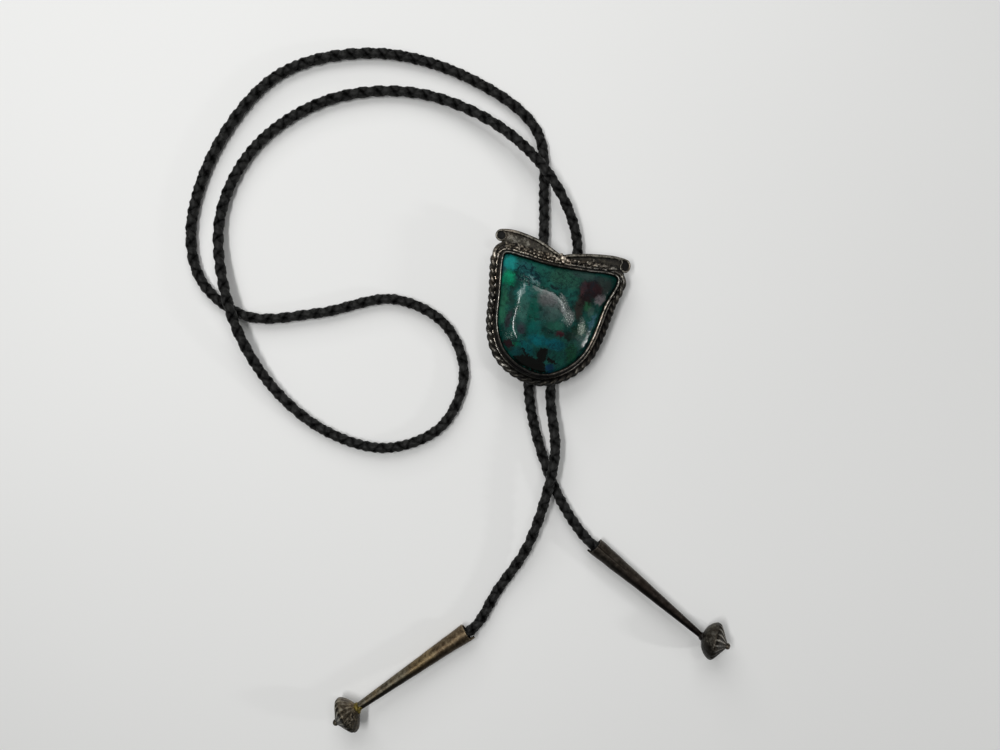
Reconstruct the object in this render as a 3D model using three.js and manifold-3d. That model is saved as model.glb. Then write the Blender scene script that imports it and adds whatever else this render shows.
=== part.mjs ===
// Bolo tie: a polished stone in a soldered silver slide, a clip behind it, and one leather cord
// that runs through the clip and ends in two silver tips. It lies on the plane z = 0.
// Millimetres, +Z up, +X across, +Y from the tips towards the neck loop.
import * as THREE from 'three'
import { mergeVertices } from 'three/addons/utils/BufferGeometryUtils.js'
import Module from 'manifold-3d'

const wasm = await Module()
wasm.setup()

// Gap kept between pieces that touch on the real object
const clearance = 0.3

// Cord
const cordDiameter = 4
const cordSides = 8
const cordSteps = 80

// Stone: a free-form cabochon with a short straight girdle and a full, flat-topped dome,
// whose crown lies a little off its middle, as a share of half the width and half the length
const stoneWidth = 40.6
const stoneLength = 38.3
const girdleHeight = 2.1
const stoneChamfer = 0.3
const domeHeight = 4.9
const crownAcross = -0.18
const crownUp = 0.05

// Setting: back plate, bezel, rope border, wings with a rim wire, and a cluster at the notch
const plateThickness = 1.2
const plateBorder = 4.1
const wingThickness = 1.0
const bezelHeight = 4.0
const bezelFoot = 1.8
const bezelFootHeight = 0.5
const bezelSink = 0.2
const bezelLip = 0.75
const ropeDiameter = 2.6
const ropeOffset = 3.25
const ropePitch = 5.3
const ropeWaist = 0.66
const ropeSink = 0.5
const wingLength = 22.6
const wingRise = 4.9
const notchRise = 4.2
const wingRoot = { across: 0.9, up: 0.8 }
const rimWireDiameter = 1.4
const rimWireSink = 0.25
const rimWireSteps = 26
const scrollRadius = 1.8
const beadClusterDiameter = 2.6

// Clip: one plain piece with two channels for the cord
const channelSpacing = 9.3
const channelSlack = 0.05
const channelWall = 0.6
const clipLength = 14
const clipAcross = -0.2
const clipUp = 2.6

// Tips: a rolled cone with an open mouth, a fluted bead and a small knob
const mouthDiameter = 6.3
const coneLength = 49
const neckDiameter = 2.7
const socketDepth = 8
const cordSeat = 6.5
const beadDiameter = 13.2
const beadLength = 8.4
const beadNeckDiameter = 3.4
const fluteCount = 20
const fluteDepth = 0.07
const knobDiameter = 2.3
const knobReach = 4.6
const knobNeckDiameter = 1.8
const neckSink = 1

// How the slide lies: turned in the plane, and leaning a little to its right side
const slideX = 6.1
const slideY = 57.4
const slideTurn = -10
const slideLean = 5

// How the two tips differ: cone and neck as shares of the named ones, and their bead's bend in degrees
const tips = [
  { name: 'tip_left', cone: 0.945, neck: 1, turn: 0, tilt: 0 },
  { name: 'tip_right', cone: 1, neck: 0.74, turn: 22, tilt: 12 },
]

// Stone outline, clockwise from its top left corner, in shares of half the width and half the length
const stoneOutline = [
  { across: -1.0, up: 0.9 },
  { across: -0.96, up: 0.985 },
  { across: -0.66, up: 1.0 },
  { across: -0.33, up: 0.955 },
  { across: 0.1, up: 0.945 },
  { across: 0.52, up: 0.96 },
  { across: 0.85, up: 0.98 },
  { across: 0.985, up: 0.945 },
  { across: 1.0, up: 0.85 },
  { across: 0.86, up: 0.43 },
  { across: 0.735, up: -0.2 },
  { across: 0.62, up: -0.53 },
  { across: 0.38, up: -0.82 },
  { across: 0.03, up: -1.0 },
  { across: -0.35, up: -0.945 },
  { across: -0.7, up: -0.7 },
  { across: -0.89, up: -0.3 },
  { across: -0.95, up: 0.3 },
]

// Flat top of the dome: how far it reaches from the crown at each bearing, as a share of half the length
const flatTop = [
  { bearing: 0, reach: 0.47 },
  { bearing: 36, reach: 0.44 },
  { bearing: 88, reach: 0.465 },
  { bearing: 106, reach: 0.5 },
  { bearing: 122, reach: 0.61 },
  { bearing: 138, reach: 0.63 },
  { bearing: 168, reach: 0.51 },
  { bearing: 191, reach: 0.54 },
  { bearing: 232, reach: 0.66 },
  { bearing: 270, reach: 0.64 },
  { bearing: 315, reach: 0.54 },
  { bearing: 360, reach: 0.47 },
]
const shoulderScale = 0.6

// Dome from the girdle over its shoulder to the crown: how wide it still is, as 1 at the girdle and
// as shoulderScale at the edge of the flat top, and how far it has risen, as a share
const domeProfile = [
  { scale: 1.0, rise: 0.0 },
  { scale: 0.985, rise: 0.13 },
  { scale: 0.94, rise: 0.32 },
  { scale: 0.85, rise: 0.54 },
  { scale: 0.72, rise: 0.77 },
  { scale: shoulderScale, rise: 0.92 },
  { scale: 0.48, rise: 0.98 },
  { scale: 0.25, rise: 1.0 },
]

// Side of the bead from one neck to the other: how far along, as a share of half its length, and
// how far it has swelled, as 0 at the neck and 1 at the rim
const beadProfile = [
  { along: -1, swell: 0 },
  { along: -0.55, swell: 0.56 },
  { along: -0.2, swell: 0.946 },
  { along: 0, swell: 1 },
  { along: 0.2, swell: 0.946 },
  { along: 0.55, swell: 0.56 },
  { along: 1, swell: 0 },
]

// Ball of the knob round its centre, in shares of its radius
const knobProfile = [
  { along: -0.35, radius: 0.95 },
  { along: 0.3, radius: 0.95 },
  { along: 0.85, radius: 0.55 },
  { along: 1, radius: 0 },
]
const knobNeckEnd = -0.75

// Grains at the notch, their places and sizes as shares of the largest one
const notchGrains = [
  { along: 0.08, up: 0.0, size: 1.0 },
  { along: 0.81, up: -0.35, size: 0.65 },
  { along: -0.65, up: -0.23, size: 0.6 },
]

// Rim wire of each wing from the notch outwards, in shares of the wing's length and rise,
// then a scroll about its own centre, its radius as a share too and its height over its width,
// with angles in degrees
const wings = [
  {
    side: -1,
    rim: [
      { along: 0.015, rise: 0.0 },
      { along: 0.13, rise: 0.21 },
      { along: 0.26, rise: 0.5 },
      { along: 0.42, rise: 0.78 },
      { along: 0.73, rise: 1.06 },
      { along: 0.9, rise: 1.09 },
    ],
    scroll: { along: 0.978, rise: 0.675, radius: 1, tall: 1, from: 90, sweep: 300 },
    waist: { along: 0.985, rise: -0.02 },
  },
  {
    side: 1,
    rim: [
      { along: 0.015, rise: 0.0 },
      { along: 0.13, rise: 0.15 },
      { along: 0.29, rise: 0.31 },
      { along: 0.5, rise: 0.47 },
      { along: 0.71, rise: 0.58 },
      { along: 0.87, rise: 0.62 },
    ],
    scroll: { along: 1.013, rise: 0.145, radius: 0.89, tall: 1.31, from: 80, sweep: 270 },
    waist: { along: 1.02, rise: -0.42 },
  },
]

// Cord centreline from inside the left tip, through the clip, round the neck loop, back through
// the clip and into the right tip. It passes over itself three times.
const cordRoute = [
  [-28.9, -57.4, 3.65],
  [-20.2, -51.6, 2.95],
  [-12.7, -39.6, 2.3],
  [-2.1, -23.7, 3.9],
  [4.8, -4.5, 6.25],
  [7.9, 11.5, 6.5],
  [6.4, 31.1, 3.9],
  [9.4, 52.3, 2.95],
  [11.9, 66.1, 2.95],
  [16.1, 83.6, 3.4],
  [8.0, 105.3, 6.4],
  [-11.9, 126.1, 5.0],
  [-42.7, 139.0, 2.4],
  [-74.1, 136.1, 2.15],
  [-99.5, 119.3, 2.25],
  [-111.5, 93.5, 3.3],
  [-105.9, 58.4, 6.6],
  [-93.0, 33.9, 3.0],
  [-73.7, 17.7, 2.1],
  [-52.0, 11.8, 2.1],
  [-32.5, 19.6, 2.1],
  [-24.5, 38.3, 2.1],
  [-31.1, 55.8, 2.1],
  [-49.4, 65.0, 2.1],
  [-76.7, 60.1, 2.1],
  [-102.4, 59.0, 2.1],
  [-118.2, 71.2, 2.1],
  [-122.2, 90.6, 2.1],
  [-112.3, 121.0, 2.1],
  [-89.8, 146.1, 2.1],
  [-56.2, 153.2, 2.1],
  [-23.0, 144.4, 2.1],
  [1.5, 125.6, 2.1],
  [4.2, 98.8, 2.2],
  [2.7, 67.7, 3.75],
  [0.3, 54.0, 3.75],
  [-1.1, 30.0, 2.5],
  [7.8, -2.0, 2.1],
  [18.7, -19.8, 2.9],
  [27.6, -27.3, 3.65],
]

const silver = new THREE.MeshStandardMaterial({ color: 0x4a433d, roughness: 0.42, metalness: 0.9 })
const warmSilver = new THREE.MeshStandardMaterial({ color: 0x7b6650, roughness: 0.38, metalness: 0.9 })
const darkSilver = new THREE.MeshStandardMaterial({ color: 0x3b3632, roughness: 0.45, metalness: 0.9 })
const chrysocolla = new THREE.MeshStandardMaterial({ color: 0x15564c, roughness: 0.16, metalness: 0 })
const plainMetal = new THREE.MeshStandardMaterial({ color: 0x8a8378, roughness: 0.45, metalness: 0.9 })
const leather = new THREE.MeshStandardMaterial({ color: 0x1b1b1c, roughness: 0.55, metalness: 0 })

const degrees = THREE.MathUtils.degToRad
const halfWidth = stoneWidth / 2
const halfLength = stoneLength / 2
const stoneFloor = plateThickness + clearance
const outlineSamples = 66

// Solids

function toSolid(geometry) {
  const bare = geometry.index ? geometry.toNonIndexed() : geometry.clone()
  bare.deleteAttribute('normal')
  bare.deleteAttribute('uv')
  const merged = mergeVertices(bare, 1e-4)
  const mesh = new wasm.Mesh({
    numProp: 3,
    vertProperties: new Float32Array(merged.attributes.position.array),
    triVerts: new Uint32Array(merged.index.array),
  })
  return new wasm.Manifold(mesh)
}

function toGeometry(solid) {
  const mesh = solid.getMesh()
  const geometry = new THREE.BufferGeometry()
  geometry.setAttribute('position', new THREE.BufferAttribute(mesh.vertProperties, 3))
  geometry.setIndex(new THREE.BufferAttribute(mesh.triVerts, 1))
  return geometry
}

// Pieces soldered into one solid; solder fills the small pockets shut in between them
function joined(geometries) {
  const whole = geometries.map(toSolid).reduce((sum, piece) => sum.add(piece))
  return toGeometry(wasm.Manifold.compose(whole.decompose().filter((skin) => skin.volume() > 0)))
}

// A closed skin through rings of equal length, with a fan over the first and the last ring
function loft(rings) {
  const count = rings[0].length
  const positions = rings.flat().flatMap((point) => [point.x, point.y, point.z])
  const index = []
  for (let level = 0; level < rings.length - 1; level++) {
    for (let i = 0; i < count; i++) {
      const next = (i + 1) % count
      const a = level * count + i
      const b = level * count + next
      index.push(a, b, b + count, a, b + count, a + count)
    }
  }
  const cap = (ring, start, upwards) => {
    const middle = ring.reduce((sum, point) => sum.add(point), new THREE.Vector3()).divideScalar(count)
    const centre = positions.length / 3
    positions.push(middle.x, middle.y, middle.z)
    for (let i = 0; i < count; i++) {
      const next = (i + 1) % count
      if (upwards) index.push(start + i, start + next, centre)
      else index.push(start + next, start + i, centre)
    }
  }
  cap(rings[0], 0, false)
  cap(rings[rings.length - 1], (rings.length - 1) * count, true)
  return indexed(positions, index)
}

// A closed loop of sections, each the same number of points, joined end to end
function ringOfSections(sections) {
  const count = sections[0].length
  const positions = sections.flat().flatMap((point) => [point.x, point.y, point.z])
  const index = []
  for (let i = 0; i < sections.length; i++) {
    const following = (i + 1) % sections.length
    for (let k = 0; k < count; k++) {
      const next = (k + 1) % count
      const a = i * count + k
      const b = i * count + next
      const c = following * count + next
      const d = following * count + k
      index.push(a, b, c, a, c, d)
    }
  }
  return indexed(positions, index)
}

function indexed(positions, index) {
  const geometry = new THREE.BufferGeometry()
  geometry.setAttribute('position', new THREE.Float32BufferAttribute(positions, 3))
  geometry.setIndex(index)
  return geometry
}

// Outlines

const outlineCurve = new THREE.CatmullRomCurve3(
  stoneOutline.map((knot) => new THREE.Vector3(knot.across * halfWidth, knot.up * halfLength, 0)),
  true,
)

// Points evenly spaced along the stone's outline, counter-clockwise seen from above, moved outwards
function outlineAt(offset, height, samples = outlineSamples) {
  const points = outlineCurve.getSpacedPoints(samples).slice(0, samples).reverse()
  return points.map((point, i) => {
    const before = points[(i + samples - 1) % samples]
    const after = points[(i + 1) % samples]
    const along = new THREE.Vector2(after.x - before.x, after.y - before.y).normalize()
    return new THREE.Vector3(point.x + along.y * offset, point.y - along.x * offset, height)
  })
}

// Height of the stone's outline above its centre at the notch, where both wings start
const notchBase = halfLength * 0.95

function wingPoint(wing, knot) {
  return new THREE.Vector2(wing.side * knot.along * wingLength, notchBase + notchRise + knot.rise * wingRise)
}

function scrollPoints(wing, steps) {
  const centre = wingPoint(wing, wing.scroll)
  const radius = wing.scroll.radius * scrollRadius
  return Array.from({ length: steps + 1 }, (_, i) => {
    const angle = degrees(wing.scroll.from + (wing.scroll.sweep * i) / steps)
    return new THREE.Vector2(
      centre.x - wing.side * Math.cos(angle) * radius,
      centre.y + Math.sin(angle) * radius * wing.scroll.tall,
    )
  })
}

// Stone

function flatTopReach(bearing) {
  const next = flatTop.findIndex((row) => row.bearing > bearing)
  const [low, high] = [flatTop[next - 1], flatTop[next]]
  const share = (bearing - low.bearing) / (high.bearing - low.bearing)
  return halfLength * (low.reach + (high.reach - low.reach) * share)
}

function makeStone() {
  const girdle = outlineAt(0, 0)
  const inset = (distance, height) => {
    const scale = 1 - distance / halfWidth
    return girdle.map((point) => new THREE.Vector3(point.x * scale, point.y * scale, height))
  }
  const domeRing = (scale, height) =>
    girdle.map((point) => {
      const away = new THREE.Vector2(point.x - crownAcross * halfWidth, point.y - crownUp * halfLength)
      const edge = away.length()
      const flat = flatTopReach(THREE.MathUtils.radToDeg(away.angle()))
      const beyond = (scale - shoulderScale) / (1 - shoulderScale)
      const reach = beyond > 0 ? flat + (edge - flat) * beyond : (flat * scale) / shoulderScale
      away.setLength(reach)
      return new THREE.Vector3(crownAcross * halfWidth + away.x, crownUp * halfLength + away.y, height)
    })
  const foot = [inset(stoneChamfer, stoneFloor), inset(0, stoneFloor + stoneChamfer)]
  const dome = domeProfile.map(({ scale, rise }) => domeRing(scale, stoneFloor + girdleHeight + rise * domeHeight))
  return loft([...foot, ...dome])
}

// Setting

function makeBackPlate() {
  return loft([outlineAt(plateBorder, 0), outlineAt(plateBorder, plateThickness)])
}

// One sheet for both wings: out along each rim to its scroll, in to the waist, and under the bezel
function makeWingSheet() {
  const [left, right] = wings.map((wing) => [
    ...wing.rim.map((knot) => wingPoint(wing, knot)),
    ...scrollPoints(wing, 12).slice(0, 9),
    wingPoint(wing, wing.waist),
    new THREE.Vector2(wing.side * halfWidth * wingRoot.across, halfLength * wingRoot.up),
  ])
  const shape = new THREE.Shape([...left.reverse(), ...right])
  const sheet = new THREE.ExtrudeGeometry(shape, { depth: wingThickness, bevelEnabled: false, steps: 1 })
  return sheet.translate(0, 0, (plateThickness - wingThickness) / 2)
}

function makeRimWire(wing) {
  const height = (plateThickness + wingThickness + rimWireDiameter) / 2 - rimWireSink
  const flat = [...wing.rim.map((knot) => wingPoint(wing, knot)), ...scrollPoints(wing, 7)]
  const path = new THREE.CatmullRomCurve3(flat.map((point) => new THREE.Vector3(point.x, point.y, height)))
  const section = new THREE.Shape()
  section.absarc(0, 0, rimWireDiameter / 2, 0, Math.PI * 2)
  return new THREE.ExtrudeGeometry(section, { steps: rimWireSteps, curveSegments: 4, extrudePath: path })
}

function makeBezel() {
  const foot = plateThickness - bezelSink
  const lip = plateThickness + bezelHeight
  const corners = [
    { offset: clearance, height: foot },
    { offset: bezelFoot, height: foot },
    { offset: bezelFoot, height: plateThickness + bezelFootHeight },
    { offset: bezelLip, height: lip },
    { offset: 0, height: lip },
    { offset: clearance, height: plateThickness + girdleHeight },
  ]
  const rings = corners.map((corner) => outlineAt(corner.offset, corner.height))
  return ringOfSections(rings[0].map((_, i) => rings.map((ring) => ring[i])).reverse())
}

// Two wires twisted together: a section with two lobes that turns as it runs round the bezel
function makeRope() {
  const path = outlineAt(ropeOffset, plateThickness + ropeDiameter / 2 - ropeSink, 240)
  const length = path.reduce((sum, point, i) => sum + point.distanceTo(path[(i + 1) % path.length]), 0)
  const turns = Math.round(length / ropePitch)
  const stepsPerTurn = 5
  const steps = turns * stepsPerTurn
  const curve = new THREE.CatmullRomCurve3(path, true)
  const points = curve.getSpacedPoints(steps).slice(0, steps)
  const sectionSides = 8
  const sections = points.map((point, i) => {
    const along = points[(i + 1) % steps].clone().sub(points[(i + steps - 1) % steps]).normalize()
    const twist = (i / stepsPerTurn) * Math.PI * 2
    return Array.from({ length: sectionSides }, (_, k) => {
      const angle = (k / sectionSides) * Math.PI * 2
      const lobe = ropeWaist + (1 - ropeWaist) * Math.cos(angle - twist) ** 2
      const radius = (ropeDiameter / 2) * lobe
      return new THREE.Vector3(
        point.x + along.y * Math.cos(angle) * radius,
        point.y - along.x * Math.cos(angle) * radius,
        point.z + Math.sin(angle) * radius,
      )
    })
  })
  return ringOfSections(sections.reverse())
}

function makeNotchCluster() {
  const radius = beadClusterDiameter / 2
  return notchGrains.map((grain) => {
    const ball = new THREE.SphereGeometry(radius * grain.size, 8, 6)
    const lift = plateThickness + ropeDiameter * 0.55 - (1 - grain.size) * radius * 0.3
    const up = notchBase + notchRise - radius * 0.8 + grain.up * beadClusterDiameter
    return ball.translate(grain.along * beadClusterDiameter, up, lift)
  })
}

function makeSetting() {
  return joined([
    makeBackPlate(),
    makeBezel(),
    makeRope(),
    makeWingSheet(),
    ...wings.map(makeRimWire),
    ...makeNotchCluster(),
  ])
}

// Clip

const channelRadius = cordDiameter / 2 + clearance + channelSlack
const clipThickness = 2 * (channelRadius + channelWall)
const channelDrop = clearance + channelRadius + channelWall

function makeClip() {
  const outer = channelRadius + channelWall
  const halfSpacing = channelSpacing / 2
  const section = new THREE.Shape()
  section.moveTo(-halfSpacing, -outer)
  section.lineTo(halfSpacing, -outer)
  section.absarc(halfSpacing, 0, outer, -Math.PI / 2, Math.PI / 2)
  section.lineTo(-halfSpacing, outer)
  section.absarc(-halfSpacing, 0, outer, Math.PI / 2, (Math.PI * 3) / 2)
  for (const side of [-1, 1]) {
    const channel = new THREE.Path()
    channel.absarc(side * halfSpacing, 0, channelRadius, 0, Math.PI * 2)
    section.holes.push(channel)
  }
  const body = new THREE.ExtrudeGeometry(section, {
    depth: clipLength,
    bevelEnabled: false,
    steps: 1,
    curveSegments: 12,
  })
  body.translate(0, 0, -clipLength / 2)
  body.rotateX(Math.PI / 2)
  return body
}

// Tips, each along +X from its mouth

function latheAlongX(profile, segments) {
  const geometry = new THREE.LatheGeometry(
    profile.map((point) => new THREE.Vector2(point.radius, point.along)),
    segments,
  )
  return geometry.rotateZ(-Math.PI / 2)
}

function makeCone(length, neck) {
  const end = length + neckSink
  return latheAlongX(
    [
      { along: socketDepth, radius: 0 },
      { along: socketDepth, radius: channelRadius },
      { along: 0, radius: channelRadius },
      { along: 0, radius: mouthDiameter / 2 },
      { along: end, radius: neck / 2 },
      { along: end, radius: 0 },
    ],
    16,
  )
}

// A short double cone with a rounded rim, its sides gathered into flutes
function makeBead() {
  const neck = beadNeckDiameter / 2
  const rim = beadDiameter / 2
  const count = fluteCount * 2
  const rings = beadProfile.map((level) => {
    const along = (level.along * beadLength) / 2
    const ridge = neck + (rim - neck) * level.swell
    return Array.from({ length: count }, (_, i) => {
      const angle = (i / count) * Math.PI * 2
      const radius = i % 2 === 0 ? ridge : ridge * (1 - fluteDepth)
      return new THREE.Vector3(along, Math.cos(angle) * radius, Math.sin(angle) * radius)
    })
  })
  return loft(rings)
}

function makeKnob() {
  const ball = knobDiameter / 2
  return latheAlongX(
    [
      { along: beadLength / 2 - neckSink, radius: 0 },
      { along: beadLength / 2 - neckSink, radius: knobNeckDiameter / 2 },
      { along: knobReach + ball * knobNeckEnd, radius: knobNeckDiameter / 2 },
      ...knobProfile.map((row) => ({ along: knobReach + ball * row.along, radius: ball * row.radius })),
    ],
    12,
  )
}

function makeTip(tip) {
  const length = tip.cone * coneLength
  const bend = new THREE.Euler(0, degrees(-tip.tilt), degrees(tip.turn), 'ZYX')
  const seat = new THREE.Matrix4().makeRotationFromEuler(bend).setPosition(length, 0, 0)
  const head = [makeBead(), makeKnob()].map((piece) => piece.translate(beadLength / 2, 0, 0).applyMatrix4(seat))
  return joined([makeCone(length, tip.neck * neckDiameter), ...head])
}

// Cord

function makeCord() {
  const path = new THREE.CatmullRomCurve3(cordRoute.map((point) => new THREE.Vector3(...point)))
  const section = new THREE.Shape()
  for (let i = 0; i < cordSides; i++) {
    const angle = ((i + 0.5) / cordSides) * Math.PI * 2
    const x = (Math.cos(angle) * cordDiameter) / 2
    const y = (Math.sin(angle) * cordDiameter) / 2
    if (i === 0) section.moveTo(x, y)
    else section.lineTo(x, y)
  }
  section.closePath()
  return new THREE.ExtrudeGeometry(section, { steps: cordSteps, curveSegments: 1, extrudePath: path })
}

// Assembly

function mesh(name, geometry, material) {
  const piece = new THREE.Mesh(geometry, material)
  piece.name = name
  return piece
}

const group = new THREE.Group()

// The slide leans on the rounded lower edge of the clip's right channel
const lean = degrees(slideLean)
const slide = new THREE.Group()
const clipCorner = clipAcross + channelSpacing / 2
const slideHeight = clipThickness / 2 + channelDrop * Math.cos(lean) + clipCorner * Math.sin(lean)
slide.position.set(slideX, slideY, slideHeight)
slide.rotation.set(0, lean, degrees(slideTurn), 'ZYX')
const clip = mesh('cord_clip', makeClip(), plainMetal)
clip.position.set(clipAcross, clipUp, -channelDrop)
slide.add(mesh('stone', makeStone(), chrysocolla), mesh('setting', makeSetting(), silver), clip)
group.add(slide)

// How far a tip rises from its mouth, so that it rests on the rims of its mouth and of its bead
function tipPitch(tip) {
  let pitch = 0
  for (let round = 0; round < 6; round++) {
    const beadLean = pitch + degrees(tip.tilt)
    const neckHeight = (beadDiameter / 2) * Math.cos(beadLean) - (beadLength / 2) * Math.sin(beadLean)
    pitch = Math.asin((neckHeight - (mouthDiameter / 2) * Math.cos(pitch)) / (tip.cone * coneLength))
  }
  return pitch
}

// Each tip takes the cord's end and goes on in the direction of the cord's last stretch
const cordEnds = {
  tip_left: cordRoute.slice(0, 2),
  tip_right: cordRoute.slice(-2).reverse(),
}
const tipSilver = { tip_left: warmSilver, tip_right: darkSilver }
for (const tip of tips) {
  const [end, before] = cordEnds[tip.name].map(([x, y]) => new THREE.Vector2(x, y))
  const outwards = end.clone().sub(before).normalize()
  const mouth = end.clone().addScaledVector(outwards, -cordSeat)
  const pitch = tipPitch(tip)
  const piece = mesh(tip.name, makeTip(tip), tipSilver[tip.name])
  piece.position.set(mouth.x, mouth.y, (mouthDiameter / 2) * Math.cos(pitch))
  piece.rotation.set(0, -pitch, outwards.angle(), 'ZYX')
  group.add(piece)
}

group.add(mesh('cord', makeCord(), leather))

export default group
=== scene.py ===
import math

import bpy
import numpy as np
from mathutils import Matrix, Vector


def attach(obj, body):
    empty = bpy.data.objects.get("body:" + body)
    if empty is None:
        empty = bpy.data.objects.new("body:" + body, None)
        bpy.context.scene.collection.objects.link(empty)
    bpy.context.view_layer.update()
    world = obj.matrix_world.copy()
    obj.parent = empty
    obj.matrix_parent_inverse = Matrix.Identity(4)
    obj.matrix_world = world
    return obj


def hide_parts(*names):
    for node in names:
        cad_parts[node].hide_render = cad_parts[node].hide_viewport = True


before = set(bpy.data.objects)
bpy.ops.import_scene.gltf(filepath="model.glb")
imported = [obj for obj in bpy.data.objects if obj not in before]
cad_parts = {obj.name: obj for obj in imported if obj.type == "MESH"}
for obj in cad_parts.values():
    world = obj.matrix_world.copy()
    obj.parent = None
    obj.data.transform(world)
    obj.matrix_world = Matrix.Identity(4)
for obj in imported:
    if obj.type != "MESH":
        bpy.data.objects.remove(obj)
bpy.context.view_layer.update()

MM = 0.001
TAU = 2 * math.pi
rng = np.random.default_rng(7)


def add_object(name, data):
    """A new object in the scene."""
    made = bpy.data.objects.new(name, data)
    bpy.context.scene.collection.objects.link(made)
    return made


# Camera, straight above the tie as in the photograph

camera_data = bpy.data.cameras.new("camera")
camera_data.sensor_width = 36.0
camera_data.lens = 27.02
camera_data.clip_start = 0.01
camera_data.clip_end = 10.0
camera = add_object("camera", camera_data)
camera.location = (-0.01155, 0.03791, 0.271)
bpy.context.scene.camera = camera


# Mesh helpers

def add_mesh(name, shape, material, matrix=None, smooth=True):
    """A mesh piece from points in millimetres, faces and per-vertex number fields."""
    points, faces, fields = shape
    mesh = bpy.data.meshes.new(name)
    mesh.from_pydata((points * MM).tolist(), [], faces)
    mesh.validate()
    mesh.update()
    if smooth:
        mesh.polygons.foreach_set("use_smooth", np.ones(len(mesh.polygons), dtype=bool))
    for field, values in fields.items():
        layer = mesh.attributes.new(field, "FLOAT", "POINT")
        layer.data.foreach_set("value", np.asarray(values, dtype=np.float32))
    mesh.materials.append(material)
    piece = add_object(name, mesh)
    if matrix is not None:
        piece.matrix_world = matrix
    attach(piece, "root")
    return piece


def grid_faces(rows, columns, wrap_rows=False, flip=False):
    """Quads over rings of points, each ring joined to the next."""
    faces = []
    for i in range(rows if wrap_rows else rows - 1):
        a = i * columns
        b = (i + 1) % rows * columns
        for j in range(columns):
            k = (j + 1) % columns
            face = (a + j, a + k, b + k, b + j)
            faces.append(face[::-1] if flip else face)
    return faces


def capped_faces(rows, columns, flip=False):
    """The same, with one face over the first ring and one over the last."""
    last = (rows - 1) * columns
    caps = [tuple(range(columns - 1, -1, -1)), tuple(range(last, last + columns))]
    return grid_faces(rows, columns, flip=flip) + [cap[::-1] if flip else cap for cap in caps]


def at_height(flat, height):
    """The points of a flat line, at one height or at a height each."""
    return np.column_stack([flat[:, :2], np.full(len(flat), height)])


def merge(parts):
    """Joins (points, faces, fields) parts into one set."""
    points, faces, fields = [], [], {}
    offset = 0
    for part_points, part_faces, part_fields in parts:
        points.append(part_points)
        faces += [tuple(i + offset for i in face) for face in part_faces]
        for key, values in part_fields.items():
            fields.setdefault(key, []).append(values)
        offset += len(part_points)
    return np.vstack(points), faces, {key: np.concatenate(values) for key, values in fields.items()}


def frames_along(points, closed=False):
    """Side and up directions along a line, with the side kept level."""
    if closed:
        tangent = np.roll(points, -1, axis=0) - np.roll(points, 1, axis=0)
    else:
        tangent = np.gradient(points, axis=0)
    tangent /= np.linalg.norm(tangent, axis=1)[:, None]
    side = np.cross(tangent, (0.0, 0.0, 1.0))
    side /= np.linalg.norm(side, axis=1)[:, None]
    return side, np.cross(side, tangent)


def smooth_line(points, per, closed=False):
    """Centripetal spline through a list of points."""
    p = np.asarray(points, dtype=float)
    if closed:
        p = np.vstack([p[-1], p, p[0], p[1]])
    else:
        p = np.vstack([2 * p[0] - p[1], p, 2 * p[-1] - p[-2]])
    out = []
    for i in range(1, len(p) - 2):
        p0, p1, p2, p3 = p[i - 1:i + 3]
        d1, d2, d3 = [max(np.linalg.norm(b - a), 1e-6) ** 0.5 for a, b in ((p0, p1), (p1, p2), (p2, p3))]
        m1 = ((p1 - p0) / d1 - (p2 - p0) / (d1 + d2) + (p2 - p1) / d2) * d2
        m2 = ((p2 - p1) / d2 - (p3 - p1) / (d2 + d3) + (p3 - p2) / d3) * d2
        for t in np.arange(per) / per:
            a = 2 * t ** 3 - 3 * t ** 2 + 1
            b = t ** 3 - 2 * t ** 2 + t
            c = -2 * t ** 3 + 3 * t ** 2
            d = t ** 3 - t ** 2
            out.append(a * p1 + b * m1 + c * p2 + d * m2)
    if not closed:
        out.append(p[-2])
    return np.array(out)


def even_points(line, count, closed=False):
    """Points at even distances along a line."""
    if closed:
        line = np.vstack([line, line[:1]])
    distance = np.r_[0, np.cumsum(np.linalg.norm(np.diff(line, axis=0), axis=1))]
    at = np.linspace(0, distance[-1], count + 1)[:-1] if closed else np.linspace(0, distance[-1], count)
    return np.stack([np.interp(at, distance, line[:, k]) for k in range(line.shape[1])], axis=1), distance[-1]


# Material helpers

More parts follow.
